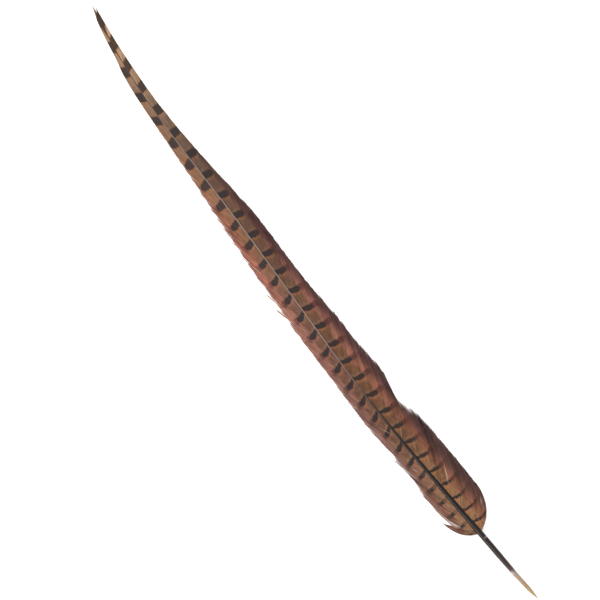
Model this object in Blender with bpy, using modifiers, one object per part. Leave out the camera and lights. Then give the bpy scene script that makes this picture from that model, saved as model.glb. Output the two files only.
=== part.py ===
"""A pheasant's tail feather lying on its underside: the shaft and the two webs of its vane.

Metres, +Z up. The feather runs along +X from the quill's point to the tip, with the narrow web
on the +Y side and the broad web on the -Y side. Its footprint is centred on the origin and it
rests on z = 0 with the quill's belly and the outer edges of both webs.
"""
import math

import bpy
import numpy as np

MM = 0.001
NAME = "pheasant_tail_feather"

# Every pair below is (station, value) in millimetres, or in degrees for the heading. A station is
# a distance along the shaft from the quill's point, and the values between are read from a
# smooth curve through the pairs.
SHAFT_LENGTH = 514.0
HEADING = ((0, 7.8), (20, 5.2), (45, 3.6), (75, 4.2), (130, 3.1), (184, 1.6), (225, -0.6),
           (300, -0.8), (370, 1.0), (410, 0.2), (445, -2.6), (475, -5.9), (500, -10.5),
           (522, -16.0))
SHAFT_RADIUS = ((0, 0.35), (2.5, 0.95), (8, 1.45), (20, 1.60), (40, 2.05), (62, 2.12), (75, 1.85),
                (105, 1.55), (140, 1.25), (210, 0.92), (280, 0.80), (420, 0.52), (514, 0.20))
SHAFT_BELLY = ((0, 0.85), (3, 0.30), (9, 0.0), (20, 0.0), (62, 0.7), (150, 2.4), (250, 2.6),
               (350, 2.0), (430, 1.1), (480, 0.5), (514, 0.15))

VANE_START = 62.0
VANE_FULL = 104.0
VANE_THICKNESS = 0.5
ROOT_GAP = 0.35
ROOT_HEIGHT = 0.5
EDGE_ROLL = 0.65
BROAD_WIDTH = ((62, 3.2), (66, 10.0), (70, 13.8), (75, 17.0), (83, 19.6), (104, 20.8), (209, 20.8),
               (243, 17.6), (275, 14.8), (339, 12.6), (379, 9.0), (440, 5.2), (465, 4.4),
               (491, 3.0), (506, 1.9), (519, 0.9))
NARROW_WIDTH = ((62, 3.2), (66, 7.6), (74, 12.0), (104, 12.9), (156, 12.5), (244, 12.7),
                (285, 13.2), (314, 12.3), (363, 9.1), (418, 5.8), (471, 4.1), (491, 2.7),
                (522, 2.4))
BROAD_TIP = 519.0
NARROW_TIP = 522.0
NARROW_PRONG_SPREAD = 1.4

STATION_STEP = 7.0
CLOSE_STEP = 2.0
CLOSE_LENGTH = 20.0
POINT_STATIONS = 6
POINT_LENGTH = 12.0
COLUMNS = 5
SHAFT_BEVEL_RESOLUTION = 4


def clear_scene():
    """Remove whatever the scene holds."""
    for item in list(bpy.data.objects):
        bpy.data.objects.remove(item, do_unlink=True)


def read_curve(pairs, stations):
    """Values at the stations on a smooth curve through the pairs that never overshoots them."""
    knots, values = np.array(pairs, dtype=float).T
    spans = np.diff(knots)
    rises = np.diff(values) / spans
    slopes = np.concatenate([rises[:1], np.zeros(len(rises) - 1), rises[-1:]])
    before, after = rises[:-1], rises[1:]
    steady = before * after > 0
    slopes[1:-1][steady] = (2 * before * after / np.where(steady, before + after, 1))[steady]
    cell = np.clip(np.searchsorted(knots, stations, side="right") - 1, 0, len(spans) - 1)
    u = np.clip((stations - knots[cell]) / spans[cell], 0, 1)
    return (values[cell] * (1 + 2 * u) * (1 - u) ** 2 + values[cell + 1] * u * u * (3 - 2 * u)
            + spans[cell] * u * (1 - u) * (slopes[cell] * (1 - u) - slopes[cell + 1] * u))


def shaft_line(stations):
    """Plan position and unit direction of the shaft's axis at each station."""
    fine = np.linspace(0, NARROW_TIP, 1045)
    heading = np.radians(read_curve(HEADING, fine))
    direction = np.stack([np.cos(heading), np.sin(heading)], axis=1)
    steps = (direction[1:] + direction[:-1]) / 2 * np.diff(fine)[:, None]
    path = np.concatenate([[[0.0, 0.0]], np.cumsum(steps, axis=0)])
    place = np.stack([np.interp(stations, fine, path[:, axis]) for axis in (0, 1)], axis=1)
    angle = np.radians(read_curve(HEADING, stations))
    return place, np.stack([np.cos(angle), np.sin(angle)], axis=1)


def axis_height(stations):
    """Height of the shaft's axis above the surface that the feather rests on."""
    return read_curve(SHAFT_BELLY, stations) + read_curve(SHAFT_RADIUS, stations)


def vane_stations(tip):
    """Stations along a web: close together where it springs from the shaft, then even."""
    close = np.arange(VANE_START, VANE_START + CLOSE_LENGTH, CLOSE_STEP)
    count = math.ceil((tip - close[-1]) / STATION_STEP)
    return np.concatenate([close, np.linspace(close[-1], tip, count + 1)[1:]])


def make_material(name, colour, roughness):
    """A Principled material for one sub-part."""
    material = bpy.data.materials.new(name)
    material.use_nodes = True
    shader = material.node_tree.nodes["Principled BSDF"]
    shader.inputs["Base Color"].default_value = (*colour, 1.0)
    shader.inputs["Roughness"].default_value = roughness
    shader.inputs["Metallic"].default_value = 0.0
    return material


def make_shaft(collection, holder):
    """The quill and the shaft in one tapering round rod, with a blunt point at the quill's end."""
    point = POINT_LENGTH * (np.arange(POINT_STATIONS) / POINT_STATIONS) ** 2
    count = math.ceil((SHAFT_LENGTH - POINT_LENGTH) / STATION_STEP)
    stations = np.concatenate([point, np.linspace(POINT_LENGTH, SHAFT_LENGTH, count + 1)])
    place, _ = shaft_line(stations)
    height = axis_height(stations)
    radius = read_curve(SHAFT_RADIUS, stations)

    curve = bpy.data.curves.new("shaft", "CURVE")
    curve.dimensions = "3D"
    curve.bevel_depth = MM
    curve.bevel_resolution = SHAFT_BEVEL_RESOLUTION
    curve.use_fill_caps = True
    spline = curve.splines.new("POLY")
    spline.points.add(len(stations) - 1)
    for dot, (x, y), z, r in zip(spline.points, place, height, radius):
        dot.co = (x * MM, y * MM, z * MM, 1.0)
        dot.radius = r
    curve.materials.append(make_material("dark_horn", (0.035, 0.028, 0.026), 0.3))
    shaft = bpy.data.objects.new("shaft", curve)
    collection.objects.link(shaft)
    shaft.parent = holder
    return shaft


def web_surface(stations, side, width_pairs, prong_spread):
    """Rows of points on a web's upper face, from the shaft's side out to the barbs' ends."""
    place, direction = shaft_line(stations)
    outward = np.stack([-direction[:, 1], direction[:, 0]], axis=1) * side
    root = read_curve(SHAFT_RADIUS, stations) + ROOT_GAP
    past_shaft = np.clip((stations - SHAFT_LENGTH) / (NARROW_TIP - SHAFT_LENGTH), 0, 1)
    root = root + past_shaft * prong_spread
    edge = read_curve(width_pairs, stations)
    reach = read_curve(width_pairs, np.maximum(stations, VANE_FULL)) - root
    top = axis_height(stations) + read_curve(SHAFT_RADIUS, stations) * ROOT_HEIGHT
    rows = []
    for column in np.linspace(0, 1, COLUMNS):
        offset = root + (edge - root) * column
        part = (offset - root) / reach
        height = top - (top - VANE_THICKNESS) * (part * (1 - EDGE_ROLL) + part ** 2 * EDGE_ROLL)
        spot = place + outward * offset[:, None]
        rows.append(np.column_stack([spot, height]))
    return np.stack(rows, axis=1) * MM


def make_web(name, tip, side, width_pairs, prong_spread, colour, collection, holder):
    """One web of the vane: a thin sheet that arches down from the shaft to its outer edge."""
    stations = vane_stations(tip)
    grid = web_surface(stations, side, width_pairs, prong_spread)
    faces = []
    for row in range(len(stations) - 1):
        for column in range(COLUMNS - 1):
            a = row * COLUMNS + column
            corners = (a, a + COLUMNS, a + COLUMNS + 1, a + 1)
            faces.append(corners if side > 0 else corners[::-1])
    mesh = bpy.data.meshes.new(name)
    mesh.from_pydata(grid.reshape(-1, 3).tolist(), [], faces)
    mesh.shade_smooth()
    mesh.materials.append(make_material(f"{name}_barbs", colour, 0.7))
    web = bpy.data.objects.new(name, mesh)
    collection.objects.link(web)
    web.parent = holder
    wall = web.modifiers.new("thickness", "SOLIDIFY")
    wall.thickness = VANE_THICKNESS * MM
    wall.offset = -1.0
    return web


def centre_footprint(holder, pieces):
    """Place the holder so that the pieces' box stands centred on the origin, on z = 0."""
    bpy.context.view_layer.update()
    graph = bpy.context.evaluated_depsgraph_get()
    corners = []
    for piece in pieces:
        shown = piece.evaluated_get(graph)
        mesh = shown.to_mesh()
        dots = np.empty(len(mesh.vertices) * 3, dtype=np.float32)
        mesh.vertices.foreach_get("co", dots)
        corners.append(dots.reshape(-1, 3))
        shown.to_mesh_clear()
    dots = np.concatenate(corners)
    low, high = dots.min(axis=0), dots.max(axis=0)
    holder.location = (-(low[0] + high[0]) / 2, -(low[1] + high[1]) / 2, -low[2])
    bpy.context.view_layer.update()


def build():
    """Make the feather in a collection of its own."""
    clear_scene()
    collection = bpy.data.collections.new(NAME)
    bpy.context.scene.collection.children.link(collection)
    holder = bpy.data.objects.new("feather_frame", None)
    collection.objects.link(holder)
    pieces = [
        make_shaft(collection, holder),
        make_web("broad_vane", BROAD_TIP, -1, BROAD_WIDTH, 0.0, (0.150, 0.068, 0.040),
                 collection, holder),
        make_web("narrow_vane", NARROW_TIP, 1, NARROW_WIDTH, NARROW_PRONG_SPREAD,
                 (0.230, 0.110, 0.070), collection, holder),
    ]
    centre_footprint(holder, pieces)


build()
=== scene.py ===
"""A pheasant's tail feather lying on a pale sweep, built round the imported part.

The shaft is swept from the quill's point to its tip, and each web is made of about a thousand
separate barbs that spring from it. A station is a distance along the shaft from the quill's
point and a reach is a distance out from its axis. Both are in millimetres.
"""

import logging
import math
from collections.abc import Sequence
from dataclasses import dataclass, field
from enum import Enum
from typing import Any

import bpy
import numpy as np
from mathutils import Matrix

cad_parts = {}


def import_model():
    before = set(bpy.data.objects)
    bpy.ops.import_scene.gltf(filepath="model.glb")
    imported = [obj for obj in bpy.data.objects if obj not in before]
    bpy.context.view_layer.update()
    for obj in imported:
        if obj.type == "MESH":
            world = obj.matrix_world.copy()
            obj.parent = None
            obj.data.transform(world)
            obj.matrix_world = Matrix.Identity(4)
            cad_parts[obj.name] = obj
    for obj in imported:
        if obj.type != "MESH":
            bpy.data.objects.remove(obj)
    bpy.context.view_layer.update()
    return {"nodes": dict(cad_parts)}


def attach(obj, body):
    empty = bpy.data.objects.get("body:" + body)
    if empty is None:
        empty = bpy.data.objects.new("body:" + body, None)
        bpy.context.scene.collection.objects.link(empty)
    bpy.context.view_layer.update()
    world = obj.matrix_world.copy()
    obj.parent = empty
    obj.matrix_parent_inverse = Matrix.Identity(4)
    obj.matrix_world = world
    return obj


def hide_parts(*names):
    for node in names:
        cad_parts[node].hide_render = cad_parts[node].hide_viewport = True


LOG = logging.getLogger("tail_feather")
MM = 0.001
BAKE_MAP = "OFBake"
SEARCH_PARTS = 8

Array = np.ndarray
Socket = bpy.types.NodeSocket
Colour = tuple[float, float, float, float]
Pairs = tuple[tuple[float, float], ...]
Stops = tuple[tuple[float, str], ...]

SMOOTH = {"interpolation_type": "SMOOTHSTEP"}
BLEND = {"data_type": "RGBA"}
TINT = {"data_type": "RGBA", "blend_type": "MULTIPLY"}


def linear_colour(code: str) -> Colour:
    """Turns an sRGB hex value into the linear colour that a shader socket takes.

    Args:
        code: Six hex digits, as "8a6547".

    Returns:
        Red, green, blue and an alpha of one.
    """
    parts = [int(code[place:place + 2], 16) / 255 for place in (0, 2, 4)]
    red, green, blue = (
        part / 12.92 if part <= 0.04045 else ((part + 0.055) / 1.055) ** 2.4 for part in parts
    )
    return red, green, blue, 1.0


def dyed(code: str, depth: float = 0.85) -> Colour:
    """A linear colour that keeps a share of its light, for the studio's bright lamps."""
    red, green, blue, alpha = linear_colour(code)
    return red * depth, green * depth, blue * depth, alpha


def smooth_step(low: float, high: float, values: Array) -> Array:
    """Rises smoothly from 0 at low to 1 at high."""
    part = np.clip((values - low) / (high - low), 0, 1)
    return part * part * (3 - 2 * part)


def hermite(knots: Array, values: Array, slopes: Array, stations: Array) -> Array:
    """Reads a cubic through knots with given slopes, going on straight past both ends.

    Args:
        knots: Rising stations.
        values: The value at each knot.
        slopes: The slope at each knot.
        stations: Where to read it, of any shape.

    Returns:
        The values there, of the same shape as the stations.
    """
    spans = np.diff(knots)
    cell = np.clip(np.searchsorted(knots, stations, side="right") - 1, 0, len(spans) - 1)
    u = np.clip((stations - knots[cell]) / spans[cell], 0, 1)
    inside = (
        values[cell] * (1 + 2 * u) * (1 - u) ** 2
        + values[cell + 1] * u * u * (3 - 2 * u)
        + spans[cell] * u * (1 - u) * (slopes[cell] * (1 - u) - slopes[cell + 1] * u)
    )
    before = np.minimum(stations - knots[0], 0) * slopes[0]
    past = np.maximum(stations - knots[-1], 0) * slopes[-1]
    return inside + before + past


def nearest_on(line: Array, dots: Array) -> Array:
    """Finds the line's point that is nearest to each of the dots, in parts that spare memory.

    Args:
        line: Points, one a row.
        dots: Points, one a row.

    Returns:
        The number of the line's point for each of the dots.
    """
    found = []
    for part in np.array_split(dots, SEARCH_PARTS):
        found.append(np.linalg.norm(part[:, None] - line[None], axis=2).argmin(axis=1))
    return np.concatenate(found)


def vertex_places(piece: bpy.types.Object) -> Array:
    """Reads where a piece's vertices are.

    Args:
        piece: A mesh object at the origin.

    Returns:
        Their places in millimetres, one a row.
    """
    dots = np.empty(len(piece.data.vertices) * 3)
    piece.data.vertices.foreach_get("co", dots)
    return dots.reshape(-1, 3) / MM


def whole_numbers(items: Any, name: str, width: int = 1) -> Array:
    """Reads a whole-number property of a mesh's edges, loops or faces.

    Args:
        items: The edges, loops or faces.
        name: The property's name.
        width: How many numbers each of them has.

    Returns:
        The numbers, in one row.
    """
    values = np.empty(len(items) * width, dtype=np.int64)
    items.foreach_get(name, values)
    return values


def store(piece: bpy.types.Object, name: str, domain: str, values: Array) -> None:
    """Stores an attribute for a piece's material to read.

    Args:
        piece: The piece.
        name: The attribute's name.
        domain: POINT or FACE.
        values: One number for each, or three on a last axis.
    """
    vector = values.ndim > 1
    made = piece.data.attributes.new(name, "FLOAT_VECTOR" if vector else "FLOAT", domain)
    made.data.foreach_set("vector" if vector else "value", values.astype(np.float32).ravel())


def store_map(piece: bpy.types.Object, u: Array, v: Array) -> None:
    """Stores the map on which the piece's finish is baked, with a u and a v for each loop."""
    layer = piece.data.uv_layers.new(name=BAKE_MAP)
    layer.data.foreach_set("uv", np.stack([u, v], axis=1).astype(np.float32).ravel())


@dataclass(frozen=True)
class Course:
    """A value that changes smoothly along the feather and never overshoots its pairs."""

    pairs: Pairs

    def at(self, stations: Array) -> Array:
        """Reads the course.

        Args:
            stations: Where to read it, of any shape.

        Returns:
            The values there, held level past both ends.
        """
        knots, values = np.array(self.pairs, dtype=float).T
        rises = np.diff(values) / np.diff(knots)
        slopes = np.zeros(len(knots))
        before, after = rises[:-1], rises[1:]
        steady = before * after > 0
        slopes[1:-1][steady] = (2 * before * after / np.where(steady, before + after, 1))[steady]
        return hermite(knots, values, slopes, np.clip(stations, knots[0], knots[-1]))


class ShaftLine:
    """The shaft's axis and thickness by station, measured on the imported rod."""

    SLICE_STEP = 8.0
    END_MARGIN = 0.2
    LOOK_AHEAD = 0.5
    LEAST_RADIUS = 0.12

    def __init__(self, rod: bpy.types.Object) -> None:
        """Slices the rod across its length.

        Args:
            rod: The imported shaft, which runs along X.
        """
        dots = vertex_places(rod)
        edges = dots[whole_numbers(rod.data.edges, "vertices", 2).reshape(-1, 2)]
        low, high = dots[:, 0].min() + self.END_MARGIN, dots[:, 0].max() - self.END_MARGIN
        rows = []
        for cut in np.linspace(low, high, round((high - low) / self.SLICE_STEP) + 1):
            crossing = (edges[:, 0, 0] - cut) * (edges[:, 1, 0] - cut) < 0
            a, b = edges[crossing, 0], edges[crossing, 1]
            ring = a + (b - a) * ((cut - a[:, 0]) / (b[:, 0] - a[:, 0]))[:, None]
            bottom, top = ring.min(axis=0), ring.max(axis=0)
            middle = (bottom + top) / 2
            rows.append((cut, middle[1], middle[2], (top[2] - bottom[2]) / 2))
        self._rows = np.array(rows)
        steps = np.hypot(*np.diff(self._rows[:, :2], axis=0).T)
        self._stations = self.END_MARGIN + np.concatenate([[0.0], np.cumsum(steps)])
        self._slopes = np.gradient(self._rows, self._stations, axis=0)
        self.length = float(self._stations[-1] + self.END_MARGIN)

    def _read(self, column: int, stations: Array) -> Array:
        """One of x, y, z and radius at the stations."""
        return hermite(self._stations, self._rows[:, column], self._slopes[:, column], stations)

    def place(self, stations: Array) -> Array:
        """Plan position of the axis, with x and y on a new last axis."""
        return np.stack([self._read(0, stations), self._read(1, stations)], axis=-1)

    def direction(self, stations: Array) -> Array:
        """Unit direction of the axis in plan, towards the tip."""
        ahead = self.place(stations + self.LOOK_AHEAD) - self.place(stations - self.LOOK_AHEAD)
        return ahead / np.linalg.norm(ahead, axis=-1, keepdims=True)

    def height(self, stations: Array) -> Array:
        """Height of the axis above the floor."""
        return self._read(2, np.minimum(stations, self.length))

    def radius(self, stations: Array) -> Array:
        """Half the rod's thickness."""
        return np.maximum(self._read(3, np.minimum(stations, self.length)), self.LEAST_RADIUS)

    def project(self, dots: Array, step: float, past: float) -> tuple[Array, Array]:
        """Finds where plan points lie along the shaft.

        Args:
            dots: Plan points in millimetres, one a row.
            step: How finely the stations are told apart.
            past: How far the search goes on past the shaft's end.

        Returns:
            The station and the reach of each point.
        """
        fine = np.arange(0.0, self.length + past, step)
        line = self.place(fine)
        nearest = nearest_on(line, dots)
        return fine[nearest], np.linalg.norm(dots - line[nearest], axis=1)

    def spot(self, station: float, angle: float, stand_off: float) -> Array:
        """A point on the rod's surface.

        Args:
            station: Where along the shaft.
            angle: Degrees round the rod from its top, positive towards +Y.
            stand_off: How far out of the surface, in millimetres.

        Returns:
            The point in millimetres.
        """
        at = np.array([station])
        (x, y), (ahead_x, ahead_y) = self.place(at)[0], self.direction(at)[0]
        out = float(self.radius(at)[0]) + stand_off
        turn = math.radians(angle)
        return np.array([
            x - ahead_y * math.sin(turn) * out,
            y + ahead_x * math.sin(turn) * out,
            float(self.height(at)[0]) + math.cos(turn) * out,
        ])


class MaterialSheet:
    """A material's node tree, to which nodes are added one at a time."""

    def __init__(self, name: str) -> None:
        """Starts a material with an empty tree and a Principled shader.

        Args:
            name: The material's name.
        """
        self.material = bpy.data.materials.new(name)
        self.material.use_nodes = True
        self.tree = self.material.node_tree
        self.tree.nodes.clear()
        self.shader = self.tree.nodes.new("ShaderNodeBsdfPrincipled")
        output = self.tree.nodes.new("ShaderNodeOutputMaterial")
        self.tree.links.new(self.shader.outputs[0], output.inputs["Surface"])

    def add(
        self,
        kind: str,
        inputs: Sequence[Any] | dict[int | str, Any] = (),
        out: int | str = 0,
        stops: Sequence[tuple[float, Any]] = (),
        **settings: Any,
    ) -> Socket:
        """Adds a node with its settings and links.

        Args:
            kind: The node's type name, without the ShaderNode that it starts with.
            inputs: A value or a socket to link for each input, in order or by name.
            out: Which output to give back.
            stops: Positions and colours of a colour ramp, or points of a float curve.
            settings: Properties of the node.

        Returns:
            The chosen output socket.
        """
        node = self.tree.nodes.new(f"ShaderNode{kind}")
        for name, value in settings.items():
            setattr(node, name, value)
        if stops and hasattr(node, "color_ramp"):
            elements = node.color_ramp.elements
            while len(elements) < len(stops):
                elements.new(1.0)
            for element, (position, colour) in zip(elements, stops):
                element.position, element.color = position, colour
        elif stops:
            points = node.mapping.curves[0].points
            while len(points) < len(stops):
                points.new(1.0, 1.0)
            for point, place in zip(points, stops):
                point.location = place
            node.mapping.update()
        self.set(node, inputs if isinstance(inputs, dict) else dict(enumerate(inputs)))
        return node.outputs[out]

    def set(self, node: bpy.types.Node, inputs: dict[int | str, Any]) -> None:
        """Sets or links a node's inputs.

        Args:
            node: The node to fill in.
            inputs: A value or a socket to link for each input.
        """
        for name, value in inputs.items():
            if isinstance(value, Socket):
                self.tree.links.new(value, node.inputs[name])
            else:
                node.inputs[name].default_value = value


@dataclass(frozen=True)
class BarbFinish:
    """Colours of one web by station, from the cells by the shaft out to the barbs' ends.

    A cell is the ground between two bars. Each list of colours runs from the vane's base to
    the feather's tip.
    """

    name: str
    cell_middle: Stops
    cell_start: Stops
    cell_end: Stops
    band: Stops
    rim: Stops
    bar: Stops
    stripe: Stops
    bar_shape: Pairs
    band_reach: tuple[float, float]
    rim_reach: tuple[float, float]
    stripe_reach: tuple[float, float, float, float]
    tip_brown: tuple[float, float, float, float]
    bar_fades: tuple[float, float]
    streak: float
    rim_streak: float
    border: str = "9c6844"
    depth: float = 0.85


@dataclass(frozen=True)
class Tuft:
    """A few loose barbs that lie on the web and end together past its edge."""

    station: float
    reach: float
    barbs: int = 5
    spacing: float = 0.3
    starts: float = 0.62
    pale: float = 0.12


@dataclass(frozen=True)
class Parting:
    """A place where the web has split, with the barbs on both sides pulled apart."""

    root: float
    back: float
    forward: float
    spread: float = 4.0
    starts: float = 0.35


@dataclass(frozen=True)
class PaleBarb:
    """A short pale stretch on the few barbs that pass through one point."""

    station: float
    reach: float
    span: float
    strength: float
    width: float = 0.35


@dataclass(frozen=True)
class BarPlan:
    """Where the bars of one web stand, which way they lean and how thick they are.

    The foot moves a bar tipward at the shaft, and the stem is its thickness there as a share of
    its thickness further out. The zone scales reaches, as the pattern narrows with the web, and
    the rim does so once more for the dark rim. The curl carries a bar's stripe tipward over the
    last ten millimetres.
    """

    shift: Course
    lean: Course
    foot: Course
    half: Course
    stem: Course
    zone: Course
    rim: Course
    curl: Course

    FIRST = 69.65
    PITCH = 11.57
    GROWTH = 0.0216
    PIVOT = 4.0
    FOOT_REACH = 2.4
    CURL_FROM = 7.5
    CURL_SPAN = 10.0
    CURL_POWER = 1.4
    STEM_REACH = (0.8, 4.6)

    def phase(self, stations: Array, reaches: Array) -> Array:
        """Counts bars along the web, with a whole number at the middle of each bar.

        Args:
            stations: Stations of the points.
            reaches: Their reaches.

        Returns:
            The count at each point.
        """
        moved = stations - self.shift.at(stations)
        moved = moved + self.lean.at(stations) * (reaches - self.PIVOT)
        past = np.maximum(reaches - self.CURL_FROM, 0) / self.CURL_SPAN
        moved = moved - self.curl.at(stations) * past ** self.CURL_POWER
        foot = self.foot.at(stations) * np.exp(-((reaches / self.FOOT_REACH) ** 2))
        moved = moved - foot - self.FIRST
        return np.log(np.maximum(1 + self.GROWTH * moved / self.PITCH, 0.2)) / self.GROWTH

    def thickness(self, stations: Array, reaches: Array) -> Array:
        """Half a bar's thickness, as a share of the distance between bars.

        Args:
            stations: Stations of the points.
            reaches: Their reaches.

        Returns:
            The share at each point.
        """
        stem = self.stem.at(stations)
        return self.half.at(stations) * (stem + (1 - stem) * smooth_step(*self.STEM_REACH, reaches))


class Side(Enum):
    """Which way a web lies from the shaft along Y."""

    BROAD = -1
    NARROW = 1


@dataclass
class Web:
    """One web of the vane, made of separate barbs.

    Each barb is a thin closed blade with a ridge along its upper face. It leaves the shaft at a
    steep angle, bends towards the tip and overlaps its neighbours. The arrays hold one barb a
    row, then its points, then the four corners of its section. A name that ends in CHANCE or
    SPREADS is the spread of a random draw.
    """

    name: str
    node: str
    slot: str
    side: Side
    line: ShaftLine
    seed: int
    finish: BarbFinish
    bars: BarPlan
    edge: Course
    lead: Course
    bow: Course
    bow_out: Course
    tufts: tuple[Tuft, ...] = ()
    partings: tuple[Parting, ...] = ()
    pale_barbs: tuple[PaleBarb, ...] = ()
    ragged: float = 1.0
    fringe: float = 0.06
    gather: Course = Course(((62, 0), (69, 0), (76, 0.06), (513, 0.06)))
    first_root: float = 62.0
    last_root: float = 513.0
    points: int = 18
    blade_height: float = 0.07
    spacing: Course = Course(((62, 0.12), (68, 0.13), (72, 0.22), (80, 0.36), (92, 0.5)))
    shaft_cover: Course = Course((
        (62, 1.98), (75, 1.70), (105, 1.42), (115, 1.28), (140, 1.02), (175, 0.72), (210, 0.52),
        (280, 0.43), (350, 0.40), (420, 0.35), (480, 0.32), (500, 0.24), (514, 0.14),
    ))
    blade_width: Course = Course((
        (0, 0.52), (0.08, 0.50), (0.3, 0.44), (0.6, 0.38), (0.84, 0.33), (0.94, 0.22), (1, 0.06),
    ))

    _rng: np.random.Generator = field(init=False)
    _roots: Array = field(init=False)
    _loose: Array = field(init=False)
    _locks: dict[str, Array] = field(init=False)
    _along: Array = field(init=False)
    _station: Array = field(init=False)
    _reach: Array = field(init=False)
    _place: Array = field(init=False)

    FINE_STEPS = 4000
    LEAD_STEPS = 2000
    CROWDING = 1.12
    VANE_FULL = 104.0
    ROOT_GAP = 0.35
    ROOT_HEIGHT = 0.5
    EDGE_ROLL = 0.65
    SHEET = 0.5
    LEAST_HEIGHT = 0.22
    OVER_SHAFT = 0.03
    SHINGLE = 0.05
    KEEL = 0.6
    FLOOR_GAP = 0.04
    LONG_BARB = 24.0
    LEAST_SIZE = 0.55
    LOCK_SIZES = (4, 15)
    LOCK_SPREADS = {"slip": 0.12, "stretch": 0.9, "lift": 0.07, "shade": 1.0}
    LOCK_GATHER = (0.1, 0.9)
    LOCK_SPLAY = 0.15
    LOOSE_LEVELS = {"lift": 0.14, "shade": 1.0}
    ROOT_CHANCE = 0.1
    STRETCH_CHANCE = 0.6
    STRETCH_LENGTH = 50.0
    HEIGHT_CHANCE = 0.015
    LIFT_POWER = 1.5
    SIZE_CHANCE = 0.08
    TUFT_HOLD = 0.55
    JAG = 0.28
    EDGE_STEP = 10.0
    FRINGE_FROM = (0.8, 0.97)
    TUFT_PALE_FROM = (0.55, 0.9)
    STRIPS = 5
    STRIP_OVERHANG = 54.0
    STRIP_MARGIN = 1.5
    MAP_MARGIN = 0.4
    CAP_SLIVER = 0.0015

    def build(self) -> bpy.types.Object:
        """Makes the web and puts it in place of its packed sheet.

        Returns:
            The web's object.
        """
        self._rng = np.random.default_rng(self.seed)
        self._plant()
        self._add_loose()
        shares = (np.arange(self.points) / (self.points - 1)) ** self.CROWDING
        self._along = np.tile(shares, (len(self._roots), 1))
        stations, reaches = self._paths()
        shades = self._rng.normal(0, 1, len(self._roots))
        self._blades(stations, reaches, self._heights(stations, reaches))
        web = self._mesh()
        self._attributes(web, shades)
        self._bake_map(web)
        web.data.materials.append(BarbMaterial(self.finish).make())
        web.data.shade_smooth()
        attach(web, "root")
        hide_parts(self.node)
        LOG.info("%s: %d barbs, %d faces", self.name, len(self._roots), len(web.data.polygons))
        return web

    def _plant(self) -> None:
        """Spaces the barbs along the shaft and sorts them into locks that cling together."""
        rng = self._rng
        fine = np.linspace(self.first_root, self.last_root, self.FINE_STEPS)
        rank = np.cumsum((fine[1] - fine[0]) / self.spacing.at(fine))
        count = round(rank[-1])
        roots = np.interp(np.linspace(0, rank[-1], count), rank, fine)
        roots = roots + rng.normal(0, self.ROOT_CHANCE, count) * self.spacing.at(roots)
        lock = np.zeros(count, dtype=int)
        start, index = 0, 0
        while start < count:
            size = int(rng.integers(*self.LOCK_SIZES))
            lock[start:start + size] = index
            start, index = start + size, index + 1
        last = np.append(np.flatnonzero(np.diff(lock)), count - 1)
        self._roots, self._loose = roots, np.full(count, -1)
        self._locks = {
            name: rng.normal(0, spread, index)[lock] for name, spread in self.LOCK_SPREADS.items()
        } | {
            "last": roots[last][lock],
            "gather": rng.uniform(*self.LOCK_GATHER, index)[lock],
            "splay": rng.normal(0, self.LOCK_SPLAY, index)[lock],
            "fringe": self.fringe * rng.uniform(0, 1, index)[lock] ** 3,
        }

    def _add_loose(self) -> None:
        """Puts the barbs of the tufts in among the web's own, whose tuft has the number -1."""
        fine = np.linspace(self.first_root, self.last_root, self.LEAD_STEPS)
        ends = fine + self.lead.at(fine)
        level = dict.fromkeys(self._locks, 0.0) | self.LOOSE_LEVELS
        for number, tuft in enumerate(self.tufts):
            last = float(np.interp(tuft.station - 0.5, ends, fine))
            new = last - tuft.spacing * np.arange(tuft.barbs)[::-1]
            self._roots = np.concatenate([self._roots, new])
            self._loose = np.concatenate([self._loose, np.full(tuft.barbs, number)])
            for name, values in self._locks.items():
                self._locks[name] = np.concatenate([values, np.full(tuft.barbs, level[name])])
        order = np.argsort(self._roots, kind="stable")
        self._roots, self._loose = self._roots[order], self._loose[order]
        self._locks = {name: values[order] for name, values in self._locks.items()}

    def _paths(self) -> tuple[Array, Array]:
        """Draws each barb's path in plan as a bow from the shaft to the web's edge.

        Returns:
            Station and reach of each point, one barb a row.
        """
        roots, locks = self._roots, self._locks
        lead_station = locks["last"] + self.lead.at(locks["last"])
        tip_station = roots + self.lead.at(roots)
        tip_reach = self.edge.at(tip_station)
        start = self.shaft_cover.at(roots) - 0.1
        run, rise = tip_station - roots, tip_reach - start
        chord = np.arctan2(rise, run)
        leave = chord + np.radians(self.bow.at(roots))
        arrive = chord - np.radians(self.bow_out.at(roots))
        first_leg = (rise * np.cos(arrive) - run * np.sin(arrive)) / np.sin(leave - arrive)
        # The longer a barb is, the more its end may stand out or fall short.
        chance = locks["stretch"] + self._rng.normal(0, self.STRETCH_CHANCE, len(roots))
        longer = self.ragged * np.hypot(run, rise) / self.STRETCH_LENGTH * chance
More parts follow.
